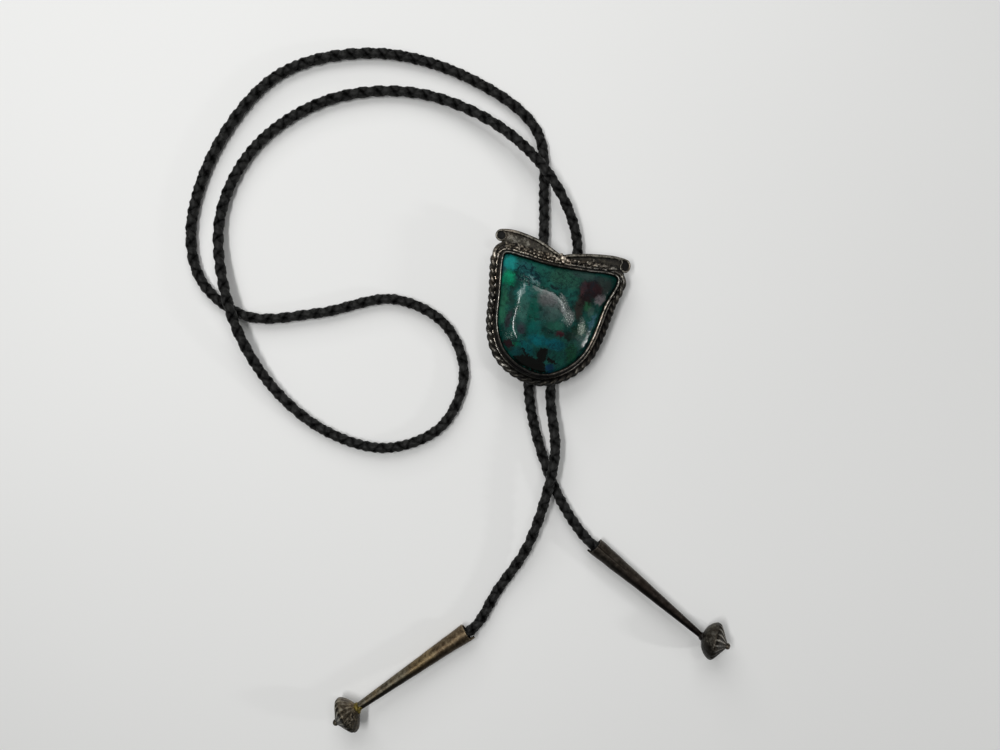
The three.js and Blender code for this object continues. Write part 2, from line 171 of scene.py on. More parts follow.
class Nodes:
    """Short names for the shader nodes of one material."""

    def __init__(self, name):
        self.material = bpy.data.materials.new(name)
        self.material.use_nodes = True
        self.tree = self.material.node_tree
        self.tree.nodes.clear()
        out = self.node("OutputMaterial")
        self.shader = self.node("BsdfPrincipled")
        self.link(self.shader.outputs[0], out.inputs[0])
        self.place = self.node("TexCoord").outputs["Object"]

    def link(self, source, target):
        self.tree.links.new(source, target)

    def put(self, value, target):
        if isinstance(value, bpy.types.NodeSocket):
            self.link(value, target)
        else:
            target.default_value = (*value, 1.0) if target.type == "RGBA" else value

    def node(self, kind, inputs=None, **settings):
        """A new node with its settings, and with its inputs filled by name or place."""
        node = self.tree.nodes.new("ShaderNode" + kind)
        for name, value in settings.items():
            setattr(node, name, value)
        for socket, value in (inputs or {}).items():
            self.put(value, node.inputs[socket])
        return node

    def math(self, operation, a, b=0.0):
        return self.node("Math", {0: a, 1: b}, operation=operation).outputs[0]

    def vector(self, operation, a, b=(0.0, 0.0, 0.0)):
        second = "Scale" if operation == "SCALE" else 1
        node = self.node("VectorMath", {0: a, second: b}, operation=operation)
        return node.outputs["Value" if operation == "LENGTH" else 0]

    def noise(self, scale, detail=4.0, rough=0.55, place=None, distortion=0.0, output="Fac"):
        inputs = {"Scale": scale, "Detail": detail, "Roughness": rough, "Distortion": distortion}
        return self.node("TexNoise", {**inputs, "Vector": place or self.place}).outputs[output]

    def ramp(self, value, low, high, low_out=0.0, high_out=1.0):
        inputs = {"Value": value, "From Min": low, "From Max": high, "To Min": low_out, "To Max": high_out}
        return self.node("MapRange", inputs, interpolation_type="SMOOTHSTEP", clamp=True).outputs["Result"]

    def blend(self, factor, a, b, mode="MIX"):
        inputs = {"Factor": factor, "A": a, "B": b}
        return self.node("Mix", inputs, data_type="RGBA", blend_type=mode).outputs["Result"]

    def times(self, color, by):
        return self.blend(1.0, color, by, "MULTIPLY")

    def tint(self, factor, color, by):
        """The colour, multiplied where the factor is 1."""
        return self.blend(factor, color, self.times(color, by))

    def field(self, name):
        return self.node("Attribute", attribute_name=name).outputs["Fac"]

    def bump(self, height, strength, distance, previous=None):
        inputs = {"Height": height, "Strength": strength, "Distance": distance}
        if previous is not None:
            inputs["Normal"] = previous
        return self.node("Bump", inputs).outputs["Normal"]

    def finish(self, color, roughness, metallic, normal, specular=0.5):
        """Fills the surface's inputs and gives its material."""
        for socket, value in (("Base Color", color), ("Roughness", roughness), ("Metallic", metallic),
                              ("Normal", normal), ("Specular IOR Level", specular)):
            self.put(value, self.shader.inputs[socket])
        return self.material


def silver_material(name, dark, middle, light, warm, rough=0.4, sparkle=0.5):
    """Blackened silver: dark in the hollows, rubbed lighter on what stands proud, with warm stains; painted
    light and shade from a field, and painted glints on fine spots.
    """
    n = Nodes(name)
    broad = n.noise(70.0, 4.0, 0.6)
    small = n.noise(420.0, 5.0, 0.65)
    grain = n.noise(1980.0, 3.0, 0.6)
    pits = n.noise(1300.0, 4.0, 0.7)
    painted_light = n.field("painted_light")
    amount = n.math("ADD", n.field("wear_and_shade"), n.ramp(small, 0.3, 0.7, -0.28, 0.28))
    # Painted shade: where the light field is negative the silver counts as less rubbed.
    amount = n.math("ADD", amount, n.ramp(painted_light, 0.0, -1.0, 0.0, -0.3))
    color = n.blend(n.ramp(amount, 0.05, 0.5), dark, middle)
    color = n.blend(n.ramp(amount, 0.5, 1.0), color, light)
    color = n.tint(n.ramp(broad, 0.45, 0.68, 0.0, 0.7), color, warm)
    # Painted light, warm, and painted shade from the light field.
    color = n.tint(n.ramp(painted_light, 0.0, 1.0), color, (2.0, 1.84, 1.66))
    color = n.tint(n.ramp(painted_light, 0.0, -1.0), color, (0.25, 0.25, 0.25))
    # Fine dark pits, and painted glints: brighter copies of the colour on fine spots.
    painted_glint = n.times(color, (2.8, 2.8, 2.7))
    color = n.blend(n.ramp(pits, 0.44 + 0.05 * sparkle, 0.36, 0.0, 0.7 + 0.3 * sparkle), color, dark)
    color = n.blend(n.ramp(pits, 0.55, 0.65, 0.0, 0.2 + 0.6 * sparkle), color, painted_glint)
    roughness = n.ramp(small, 0.3, 0.7, rough - 0.1, rough + 0.14)
    roughness = n.math("ADD", roughness, n.ramp(amount, 0.2, 1.0, 0.08, -0.06))
    normal = n.bump(small, 0.35, 0.00012)
    normal = n.bump(grain, 0.25, 0.00004, normal)
    normal = n.bump(pits, 0.5, 0.00010, normal)
    metallic = n.ramp(amount, 0.1, 0.6, 0.55, 0.95)
    return n.finish(color, roughness, metallic, normal)


# Leather cord: four flat laces in a round braid over the route

BRAID_PITCH = 11.5
LACE_WIDTH = 3.15
LACE_THICKNESS = 1.06
BRAID_RADIUS = 1.27
BRAID_WAVE = 0.26
LACE_SAG = 0.10
CORE_RADIUS = 0.95
LACE_SHADE_FROM = BRAID_RADIUS - 0.35
LACE_SHADE_SPAN = 1.15
FLOOR_GAP = 0.02

CORD_ROUTE = [
    (-28.9, -57.4, 3.65), (-20.2, -51.6, 2.95), (-12.7, -39.6, 2.3), (-2.1, -23.7, 3.9), (4.8, -4.5, 6.25),
    (7.9, 11.5, 6.5), (6.4, 31.1, 3.9), (9.4, 52.3, 2.95), (11.9, 66.1, 2.95), (16.1, 83.6, 3.4),
    (8.0, 105.3, 6.4), (-11.9, 126.1, 5.0), (-42.7, 139.0, 2.4), (-74.1, 136.1, 2.15), (-99.5, 119.3, 2.25),
    (-111.5, 93.5, 3.3), (-105.9, 58.4, 6.6), (-93.0, 33.9, 3.0), (-73.7, 17.7, 2.1), (-52.0, 11.8, 2.1),
    (-32.5, 19.6, 2.1), (-24.5, 38.3, 2.1), (-31.1, 55.8, 2.1), (-49.4, 65.0, 2.1), (-76.7, 60.1, 2.1),
    (-102.4, 59.0, 2.1), (-118.2, 71.2, 2.1), (-122.2, 90.6, 2.1), (-112.3, 121.0, 2.1),
    (-89.8, 146.1, 2.1), (-56.2, 153.2, 2.1), (-23.0, 144.4, 2.1), (1.5, 125.6, 2.1), (4.2, 98.8, 2.2),
    (2.7, 67.7, 3.75), (0.3, 54.0, 3.75), (-1.1, 30.0, 2.5), (7.8, -2.0, 2.1), (18.7, -19.8, 2.9),
    (27.6, -27.3, 3.65),
]


def leather_material():
    """Black leather, dull in its grain and a little shiny on the crown of each lace, with a painted sheen on
    the crowns and painted shade in the grooves between laces.
    """
    n = Nodes("braided_leather")
    edge = n.field("wear_and_shade")
    patch = n.noise(55.0, 3.0, 0.6)
    grain = n.noise(900.0, 4.0, 0.65)
    pores = n.node("TexVoronoi", {"Scale": 1500.0, "Vector": n.place}).outputs["Distance"]
    shade = n.math("ADD", n.ramp(patch, 0.3, 0.7, 0.0, 0.5), n.ramp(grain, 0.35, 0.68, 0.0, 0.5))
    color = n.blend(shade, (0.0004, 0.0004, 0.0004), (0.0062, 0.0062, 0.0060))
    # Crowns of the laces painted lighter, a painted sheen with some real wear; grooves between laces painted
    # near black as shade.
    color = n.blend(n.ramp(edge, 0.55, 1.0, 0.0, 0.55), color, (0.020, 0.020, 0.0190))
    color = n.blend(n.ramp(edge, 0.45, 0.05, 0.0, 0.85), color, (0.0003, 0.0003, 0.0003))
    shine = n.math("MULTIPLY", n.ramp(edge, 0.3, 0.95, 0.01, 0.32), n.ramp(grain, 0.36, 0.62, 0.25, 1.0))
    roughness = n.ramp(grain, 0.3, 0.7, 0.36, 0.66)
    normal = n.bump(grain, 0.8, 0.00020)
    normal = n.bump(pores, 0.4, 0.00008, normal)
    return n.finish(color, roughness, 0.0, normal, specular=shine)


def parallel_frames(line):
    """Tangents and a side direction carried along the line without twist."""
    tangent = np.gradient(line, axis=0)
    tangent /= np.linalg.norm(tangent, axis=1)[:, None]
    side = np.zeros_like(line)
    current = np.cross(tangent[0], (0, 0, 1.0))
    for i, direction in enumerate(tangent):
        current = current - direction * np.dot(current, direction)
        current /= np.linalg.norm(current)
        side[i] = current
    return tangent, side, np.cross(tangent, side)


def braided_cord():
    """Two pairs of laces wound opposite ways, each rising over and dipping under the other pair."""
    line, length = even_points(smooth_line(CORD_ROUTE, 40), 2350)
    tangent, side, upward = parallel_frames(line)
    along = np.linspace(0, length, len(line))
    roll = 0.8 + 1.1 * np.sin(along / 61.0) + 0.7 * np.sin(along / 23.0 + 1.3)
    section = 8
    parts = []
    slant = math.atan(TAU * BRAID_RADIUS / BRAID_PITCH)
    for hand in (1, -1):
        for start in (0, 1):
            angle = hand * TAU * along / BRAID_PITCH + start * math.pi + roll
            lift = hand * np.cos(2 * TAU * along / BRAID_PITCH)
            radius = BRAID_RADIUS + BRAID_WAVE * lift
            rows, wear_and_shade = [], []
            for k in range(section):
                turn = TAU * (k + 0.5) / section
                across = math.copysign(abs(math.cos(turn)) ** 0.75, math.cos(turn)) * LACE_WIDTH / 2
                out = math.copysign(abs(math.sin(turn)) ** 0.8, math.sin(turn)) * LACE_THICKNESS / 2
                bent = angle + across * math.cos(slant) / radius
                slide = -hand * across * math.sin(slant)
                r = radius + out - LACE_SAG * (across / (LACE_WIDTH / 2)) ** 2
                outward = np.cos(bent)[:, None] * side + np.sin(bent)[:, None] * upward
                rows.append(line + tangent * slide + outward * r[:, None])
                # Height on the lace, for the painted sheen on the crowns and the painted shade in the
                # grooves.
                wear_and_shade.append((r - LACE_SHADE_FROM) / LACE_SHADE_SPAN)
            points = np.stack(rows, axis=1).reshape(-1, 3)
            fields = {"wear_and_shade": np.stack(wear_and_shade, axis=1).reshape(-1)}
            parts.append((points, capped_faces(len(line), section), fields))
    core_line, core_side, core_up = line[::4], side[::4], upward[::4]
    core = np.stack([core_line + CORE_RADIUS * (math.cos(a) * core_side + math.sin(a) * core_up)
                     for a in np.arange(6) * TAU / 6], axis=1).reshape(-1, 3)
    parts.append((core, capped_faces(len(core_line), 6), {"wear_and_shade": np.zeros(len(core))}))
    points, faces, fields = merge(parts)
    points[:, 2] = np.maximum(points[:, 2], FLOOR_GAP)
    cord = add_mesh("braided_cord", (points, faces, fields), leather_material())
    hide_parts("cord")


braided_cord()

# Slide: its own frame, turned as in the photograph and leaning a little on its clip

SLIDE_MIDDLE = (6.1, 57.4)
SLIDE_TURN = math.radians(-10)
SLIDE_LEAN = math.radians(5)
CLIP_THICKNESS = 5.9
CLIP_WIDTH = 9.3
CLIP_ACROSS = -0.2
CHANNEL_DROP = 3.25
clip_corner = CLIP_ACROSS + CLIP_WIDTH / 2
slide_height = CLIP_THICKNESS / 2 + CHANNEL_DROP * math.cos(SLIDE_LEAN) + clip_corner * math.sin(SLIDE_LEAN)
slide = Matrix.Translation(Vector((*SLIDE_MIDDLE, slide_height)) * MM)
slide = slide @ Matrix.Rotation(SLIDE_TURN, 4, "Z") @ Matrix.Rotation(SLIDE_LEAN, 4, "Y")

STONE_WIDTH = 40.6
STONE_LENGTH = 38.3
HALF_WIDTH = STONE_WIDTH / 2
HALF_LENGTH = STONE_LENGTH / 2
PLATE = 1.2
STONE_FLOOR = 1.5
GIRDLE = 2.1
DOME = 4.9
WING_LENGTH = 22.6
WING_RISE = 4.9
NOTCH_Y = HALF_LENGTH * 0.95 + 4.2

STONE_OUTLINE = [
    (-1.0, 0.9), (-0.98, 1.005), (-0.66, 1.0), (-0.33, 0.955), (0.1, 0.945), (0.52, 0.96), (0.85, 0.98),
    (0.985, 0.945), (1.0, 0.85), (0.86, 0.43), (0.735, -0.2), (0.62, -0.53), (0.38, -0.82), (0.03, -1.0),
    (-0.35, -0.945), (-0.7, -0.7), (-0.89, -0.3), (-0.95, 0.3),
]
outline_line = [(across * HALF_WIDTH, up * HALF_LENGTH, 0.0) for across, up in STONE_OUTLINE]
outline_line = smooth_line(outline_line, 30, closed=True)[::-1]


def outline(count, offset=0.0):
    """Points round the stone, counter-clockwise, moved outwards by offset; and their outward directions."""
    points, length = even_points(outline_line, count, closed=True)
    along = np.roll(points, -1, axis=0) - np.roll(points, 1, axis=0)
    along /= np.linalg.norm(along, axis=1)[:, None]
    outward = np.stack([along[:, 1], -along[:, 0], np.zeros(count)], axis=1)
    reach = offset * (1 - border_pinch(points) * np.clip((offset - 1.6) / 1.6, 0, 1))
    return points + outward * np.reshape(reach, (-1, 1)), outward, length


def bearing(points):
    """Direction of each point from the middle of the stone, in degrees from the right, counter-clockwise."""
    return np.degrees(np.arctan2(points[:, 1], points[:, 0])) % 360


def near(points, middle, width):
    """1 at a bearing, falling softly to 0 at a width on both sides of it."""
    away = np.abs((bearing(points) - middle + 180) % 360 - 180)
    return 0.5 + 0.5 * np.cos(math.pi * np.clip(away / width, 0, 1))


def border_pinch(points):
    """How much narrower the border is at the left and at the upper right corner."""
    return 0.2 * near(points, 178, 62) + 0.22 * near(points, 40, 20) - 0.06 * near(points, 235, 50)


def border_painted_light(points):
    """Painted warm light along the top, painted shade along the right side and the bottom."""
    top = 1.1 * near(points, 108, 60) + 0.35 * near(points, 60, 25)
    return top - 0.95 * near(points, 350, 70) - 0.8 * near(points, 270, 58)


# Stone colours, a few of them painted highlights and reflections: soft patches in the slide's frame, each
# with its middle across and up and its half width and half height in millimetres, its slant in degrees, its
# colour and its strength

STONE_PATCHES = [
    ("green top", -8.5, 16.4, 5.0, 2.0, -8, (0.009, 0.075, 0.056), 0.8),
    ("green top middle", 2.2, 14.2, 6.4, 3.4, -4, (0.014, 0.058, 0.038), 0.85),
    ("grey top right", 9.0, 17.0, 6.0, 1.7, -4, (0.022, 0.046, 0.040), 0.85),
    ("dark corner", 15.6, 14.2, 3.6, 3.4, 0, (0.015, 0.019, 0.018), 0.85),
    ("blue left edge", -19.6, 13.5, 1.1, 4.5, 0, (0.016, 0.045, 0.060), 0.85),
    ("teal corner", -17.6, 16.4, 2.6, 2.7, 0, (0.005, 0.162, 0.150), 0.9),
    ("emerald", -17.6, 10.8, 2.4, 3.0, 15, (0.002, 0.150, 0.075), 0.95),
    ("green left", -17.8, 1.5, 1.6, 6.5, 4, (0.014, 0.085, 0.047), 0.85),
    ("dark left", -15.4, 5.2, 1.3, 3.6, -4, (0.009, 0.022, 0.019), 0.75),
    ("vein field", -12.0, 15.2, 3.8, 2.4, -28, (0.010, 0.062, 0.066), 0.8),
    ("vein field low", -9.0, 12.0, 2.6, 1.6, -35, (0.016, 0.080, 0.080), 0.7),
    # Painted highlight: the bright streak where the dome's left shoulder reflects the left lamp, and a paler
    # painted sheen arc above it.
    ("painted highlight streak", -12.4, 6.7, 0.75, 3.1, -8, (0.60, 0.72, 0.72), 0.85),
    ("painted sheen arc", -8.6, 11.7, 2.6, 0.6, -38, (0.12, 0.19, 0.19), 0.5),
    ("teal below veins", -11.5, 6.5, 3.2, 3.4, 0, (0.008, 0.082, 0.074), 0.75),
    ("grey green", -11.0, 1.5, 1.9, 5.2, 4, (0.023, 0.078, 0.064), 0.8),
    ("green column", -7.4, 0.2, 1.9, 6.2, 6, (0.001, 0.050, 0.035), 0.95),
    ("green column low", -6.0, -4.6, 2.4, 2.8, 0, (0.001, 0.052, 0.046), 0.85),
    # Painted reflection: a grey veil over the stone's own green on the flat top.
    ("grey field", -3.2, 5.6, 3.9, 2.9, -24, (0.052, 0.056, 0.056), 0.92),
    ("grey field low", -1.4, 1.6, 3.4, 3.0, 0, (0.022, 0.058, 0.050), 0.85),
    ("dark speck", -1.4, 10.5, 2.0, 0.5, -8, (0.004, 0.011, 0.010), 0.9),
    # Painted highlight: a dim band where the right shoulder reflects a lamp.
    ("painted highlight band", 3.6, 4.2, 1.7, 4.6, 30, (0.092, 0.108, 0.104), 0.85),
    ("painted highlight band low", 5.2, 1.0, 1.6, 2.6, 0, (0.100, 0.112, 0.110), 0.55),
    ("maroon", 11.8, 12.2, 4.5, 3.3, -6, (0.0125, 0.0050, 0.0065), 1.0),
    ("maroon low", 9.8, 8.8, 2.9, 3.2, 20, (0.0095, 0.0050, 0.0055), 1.0),
    ("maroon side", 8.6, 11.8, 1.2, 3.0, 0, (0.036, 0.016, 0.018), 0.8),
    ("brown column", 7.9, 5.0, 1.6, 4.1, 6, (0.018, 0.014, 0.012), 0.9),
    ("pink right", 15.4, 9.4, 2.3, 1.6, 40, (0.130, 0.112, 0.120), 0.8),
    ("green right", 11.0, 6.2, 1.6, 1.5, 0, (0.014, 0.068, 0.032), 0.85),
    ("grey right", 12.6, 4.6, 1.3, 2.0, -10, (0.060, 0.085, 0.075), 0.4),
    ("blue right", 14.0, 1.2, 1.2, 3.4, -20, (0.030, 0.089, 0.117), 0.9),
    # Painted highlight, pale, on the lower right slope.
    ("painted highlight low right", 10.2, 0.8, 1.3, 1.4, 0, (0.110, 0.120, 0.108), 0.4),
    ("green under it", 10.2, -2.6, 2.0, 2.4, -10, (0.045, 0.095, 0.060), 0.7),
    ("purple left", -15.2, -3.0, 1.3, 3.4, -4, (0.018, 0.015, 0.020), 0.85),
    ("purple left low", -10.8, -5.6, 1.8, 2.2, -8, (0.025, 0.023, 0.032), 0.75),
    ("red left", -13.4, -11.0, 1.9, 1.4, -15, (0.0125, 0.0030, 0.0050), 0.95),
    ("emerald small", -10.6, -10.4, 1.2, 0.9, 20, (0.001, 0.098, 0.042), 0.9),
    ("green middle", 1.2, -2.6, 3.2, 1.5, 0, (0.008, 0.060, 0.040), 0.8),
    ("red middle", 2.9, -5.0, 1.7, 1.1, -10, (0.026, 0.006, 0.009), 1.0),
    # Painted glints on the lower right slope, round its bright spot.
    ("painted glint grains", 10.3, -2.2, 1.2, 2.3, 12, (0.20, 0.24, 0.20), 0.85),
    ("dark middle", 6.0, -5.2, 1.5, 1.7, -20, (0.002, 0.006, 0.005), 0.95),
    ("dark green", 7.9, -3.6, 1.9, 2.6, -10, (0.002, 0.018, 0.010), 0.9),
    ("blue middle", -3.6, -8.4, 4.2, 2.3, 0, (0.0005, 0.064, 0.074), 0.95),
    ("blue right of it", 2.0, -8.8, 3.6, 1.8, -6, (0.001, 0.058, 0.074), 0.9),
    ("teal low left", -7.6, -11.6, 3.4, 1.7, -30, (0.001, 0.056, 0.062), 0.9),
    ("teal corner low", -10.8, -13.6, 2.0, 1.6, -35, (0.002, 0.040, 0.044), 0.85),
    ("green low right", 8.4, -10.6, 2.2, 4.0, 0, (0.005, 0.046, 0.020), 0.85),
    ("green low middle", 4.6, -13.6, 1.8, 2.6, 10, (0.004, 0.050, 0.036), 0.85),
    ("blue tip", 2.4, -17.2, 1.8, 1.5, 10, (0.001, 0.026, 0.070), 0.9),
]

# Painted glints: pale specks in the stone's highlights, as soft zones placed like the patches, with a
# strength

PAINTED_GLINT_ZONES = [
    (3.0, 5.2, 1.3, 4.0, 30, 0.9), (5.0, 0.8, 1.7, 2.6, 8, 0.9), (10.4, -1.6, 1.5, 3.0, 14, 1.0),
    (-11.8, 11.0, 2.6, 2.2, -20, 0.2), (-13.8, -8.2, 1.6, 1.4, 0, 0.6), (-13.0, 3.0, 1.0, 8.0, -2, 0.5),
    (-7.8, 10.6, 2.6, 0.8, -30, 0.25),
]

# Black patch near the lower end, a low mound with prongs and an arm

BLACK_PATCH = [
    (-5.0, -16.2, 5.6, 2.1, -6), (-2.4, -17.8, 3.6, 1.3, -4), (-1.6, -13.2, 1.8, 2.5, -6),
    (-0.6, -11.2, 1.1, 0.7, 10), (-7.6, -13.4, 0.45, 2.3, 42), (2.2, -14.4, 1.9, 0.8, -20),
]

# Web of dark veins at the upper left

VEIN_WEB = (-11.6, 13.6, 5.2, 4.0, -25)


def soft_patch(n, place, ellipse, outer, inner, strength):
    """The strength inside a slanted ellipse, falling to 0 outside it."""
    across, up, half_across, half_up, slant = ellipse
    turned = n.node("Mapping", {
        "Vector": place, "Location": (across * MM, up * MM, 0.0), "Rotation": (0.0, 0.0, math.radians(slant)),
        "Scale": (half_across * MM, half_up * MM, 1.0),
    }, vector_type="TEXTURE")
    reach = n.vector("LENGTH", n.vector("MULTIPLY", turned.outputs[0], (1.0, 1.0, 0.0)))
    return n.ramp(reach, outer, inner, 0.0, strength)


def stone_material():
    """Patches of colour with wandering borders, a few of them painted highlights and reflections, then
    mottling, veins, painted glints and the black patch.
    """
    n = Nodes("mixed_copper_stone")
    wide = n.noise(210.0, 4.0, 0.6, output="Color")
    close = n.noise(760.0, 5.0, 0.65, output="Color")
    crumb = n.noise(2400.0, 4.0, 0.7, output="Color")
    place = n.place
    for source, reach in ((wide, 0.0030), (close, 0.0030), (crumb, 0.0018)):
        shift = n.vector("SUBTRACT", source, (0.5, 0.5, 0.5))
        place = n.vector("ADD", place, n.vector("SCALE", shift, reach))
    base_noise = n.noise(160.0, 5.0, 0.6, place)
    color = n.blend(n.ramp(base_noise, 0.35, 0.65), (0.001, 0.020, 0.016), (0.007, 0.058, 0.047))
    for _, *ellipse, patch_color, strength in STONE_PATCHES:
        color = n.blend(soft_patch(n, place, ellipse, 1.3, 0.6, strength), color, patch_color)
    mottle = n.noise(620.0, 5.0, 0.7, place)
    color = n.tint(n.ramp(mottle, 0.53, 0.68, 0.0, 0.3), color, (2.2, 2.0, 1.9))
    color = n.tint(n.ramp(mottle, 0.48, 0.36, 0.0, 0.85), color, (0.25, 0.3, 0.32))
    fleck = n.noise(1700.0, 4.0, 0.75, place)
    broad = n.noise(280.0, 4.0, 0.65, place)
    color = n.tint(n.ramp(broad, 0.52, 0.68, 0.0, 0.4), color, (1.7, 1.6, 1.5))
    color = n.tint(n.ramp(broad, 0.46, 0.32, 0.0, 0.5), color, (0.4, 0.5, 0.5))
    color = n.tint(n.ramp(fleck, 0.45, 0.34, 0.0, 0.45), color, (0.3, 0.32, 0.32))
    vein_noise = n.noise(300.0, 6.0, 0.7, place, 0.6)
    vein = n.math("ABSOLUTE", n.math("SUBTRACT", vein_noise, 0.5))
    vein_zone = n.ramp(n.noise(95.0, 2.0, 0.5), 0.46, 0.6)
    vein_amount = n.math("MULTIPLY", n.ramp(vein, 0.03, 0.006), n.math("MULTIPLY", vein_zone, 0.9))
    color = n.blend(vein_amount, color, (0.002, 0.009, 0.013))
    web_zone = soft_patch(n, place, VEIN_WEB, 1.2, 0.8, 1.0)
    web = n.ramp(n.noise(560.0, 4.0, 0.6, None, 1.2), 0.49, 0.44, 0.0, 0.9)
    color = n.blend(n.math("MULTIPLY", web, web_zone), color, (0.001, 0.010, 0.015))
    # Painted glints: pale specks in the zones of the highlights.
    glint_specks = n.ramp(n.noise(2600.0, 4.0, 0.7), 0.53, 0.64)
    for *ellipse, strength in PAINTED_GLINT_ZONES:
        zone = soft_patch(n, place, ellipse, 1.3, 0.3, strength)
        color = n.blend(n.math("MULTIPLY", zone, glint_specks), color, (0.52, 0.58, 0.54))
    color = n.times(color, (1.15, 1.15, 1.15))
    for ellipse in BLACK_PATCH:
        color = n.blend(soft_patch(n, place, ellipse, 1.12, 0.86, 0.97), color, (0.0022, 0.0018, 0.0014))
    polish = n.noise(1500.0, 3.0, 0.6)
    roughness = n.ramp(polish, 0.3, 0.7, 0.07, 0.16)
    normal = n.bump(n.noise(240.0, 3.0, 0.5), 0.15, 0.00016)
    normal = n.bump(n.noise(2300.0, 2.0, 0.5), 0.8, 0.00004, normal)
    return n.finish(color, roughness, 0.0, normal, specular=0.42)


# Dome: its share of the way out against its share of the height, from the girdle to the top

DOME_CENTRE = (-3.65, 0.96)
DOME_SHOULDER = 0.6
DOME_TILT = 0.25
DOME_PROFILE = [
    (1.0, 0.0), (0.99, 0.07), (0.965, 0.16), (0.92, 0.27), (0.84, 0.445), (0.76, 0.61), (0.68, 0.77),
    (0.62, 0.882), (0.575, 0.945), (0.53, 0.975), (0.46, 0.987), (0.3, 0.994), (0.0, 1.0),
]
FOOT_SCALE = 0.985
FOOT_HEIGHT = 0.3


# Radius of the dome's flat top by bearing round its centre

PLATEAU = [
    (0, 9.0), (36, 8.4), (88, 8.9), (106, 9.6), (122, 11.7), (138, 12.1), (153, 10.7), (168, 9.8),
    (191, 10.3), (214, 12.0), (232, 12.7), (270, 12.2), (315, 10.4), (340, 9.4), (360, 9.0),
]


def build_stone():
    """A flat foot, an upright girdle and a dome with a flat top and a hand-cut waviness."""
    count = 260
    edge, _, _ = outline(count)
    profile, _ = even_points(smooth_line([(s, r, 0.0) for s, r in DOME_PROFILE], 20), 64)
    rings = [at_height(edge * FOOT_SCALE, STONE_FLOOR), at_height(edge, STONE_FLOOR + FOOT_HEIGHT)]
    away = edge[:, :2] - DOME_CENTRE
    distance = np.linalg.norm(away, axis=1)
    away /= distance[:, None]
    flat_top = np.interp(bearing(away), *np.array(PLATEAU).T)
    for scale, rise, _ in profile[:-1]:
        share = (scale - DOME_SHOULDER) / (1 - DOME_SHOULDER)
        inside = flat_top * scale / DOME_SHOULDER
        reach = flat_top + (distance - flat_top) * share if share > 0 else inside
        x = DOME_CENTRE[0] + away[:, 0] * reach
        y = DOME_CENTRE[1] + away[:, 1] * reach
        z = STONE_FLOOR + GIRDLE + rise * DOME - DOME_TILT * (1 - scale) * (x / HALF_WIDTH)
        z = z + 0.08 * (1 - scale) * np.sin(x / 5.1 + 0.6) * np.cos(y / 6.3)
        rings.append(np.column_stack([x, y, z]))
    points = np.vstack([*rings, rings[-1].mean(axis=0)])
    faces = grid_faces(len(rings), count)
    last = (len(rings) - 1) * count
    faces += [(last + i, last + (i + 1) % count, len(points) - 1) for i in range(count)]
    faces.append(tuple(range(count - 1, -1, -1)))
    stone = add_mesh("stone_cabochon", (points, faces, {}), stone_material(), slide)
    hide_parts("stone")


build_stone()

# Silver tones: in the hollows, between, rubbed bare, and the tint of the stains

SILVER_TONES = ((0.010, 0.009, 0.0074), (0.062, 0.056, 0.045), (0.36, 0.34, 0.29), (1.18, 0.97, 0.86))
slide_silver = silver_material("blackened_silver", *SILVER_TONES, rough=0.42)
ROPE_TONES = ((0.006, 0.0055, 0.005), (0.062, 0.057, 0.048), (0.44, 0.42, 0.38), (1.12, 0.98, 0.9))
rope_silver = silver_material("sparkling_silver", *ROPE_TONES, rough=0.4, sparkle=1.0)


def wing_point(side, along, rise):
    """A place on a wing: its share of the way out and up from the notch."""
    return np.array([side * along * WING_LENGTH, NOTCH_Y + rise * WING_RISE])


# Wings: rim points and waist as shares; scroll as its middle, radius, height against width, start and sweep

WINGS = [
    dict(side=-1, rim=[(0.015, 0.0), (0.13, 0.21), (0.26, 0.5), (0.42, 0.78), (0.73, 1.06), (0.9, 1.09)],
         scroll=(0.978, 0.675, 1.8, 1.0, 90, 345), waist=(0.985, -0.02)),
    dict(side=1, rim=[(0.015, 0.0), (0.13, 0.15), (0.29, 0.31), (0.5, 0.47), (0.71, 0.58), (0.87, 0.62)],
         scroll=(1.013, 0.145, 1.6, 1.31, 80, 290), waist=(1.02, -0.42)),
]
PLATE_BORDER = 4.1
PLATE_EDGE = [(-0.35, 0.0), (0.0, 0.3), (0.0, 0.9), (-0.3, PLATE)]
WING_FLOOR = 0.1
WING_TOP = 1.1
WING_ROOT = (HALF_WIDTH * 0.9, HALF_LENGTH * 0.8)
SHADE_DISC_SIDES = 20


def scroll_line(wing, steps, sweep, shrink=0.0):
    """The scroll at a wing's end, over a sweep in degrees, its radius shrinking on the way."""
    along, rise, radius, tall, start, _ = wing["scroll"]
    centre = wing_point(wing["side"], along, rise)
    points = []
    for i in range(steps + 1):
        share = i / steps
        angle = math.radians(start + sweep * share)
        r = radius * (1 - shrink * share)
        across = centre[0] - wing["side"] * math.cos(angle) * r
        points.append((across, centre[1] + math.sin(angle) * r * tall))
    return np.array(points)


def wing_sheet():
    """Both wings as one flat sheet, from the right root over the notch to the left root."""
    halves = []
    for wing in WINGS:
        rim = [(*wing_point(wing["side"], along, rise), 0.0) for along, rise in wing["rim"]]
        rim, _ = even_points(smooth_line(rim, 10), 40)
        waist = wing_point(wing["side"], *wing["waist"])
        root = (wing["side"] * WING_ROOT[0], WING_ROOT[1])
        halves.append(np.vstack([rim[:, :2], scroll_line(wing, 24, 200), [waist], [root]]))
    left, right = halves
    edge = np.vstack([right[::-1], left])
    points = np.vstack([at_height(edge, WING_FLOOR), at_height(edge, WING_TOP)])
    wear_and_shade = np.where(points[:, 0] < 0, 0.56, 0.22)
    return points, capped_faces(2, len(edge)), {"wear_and_shade": wear_and_shade, "painted_light": np.zeros(len(points))}


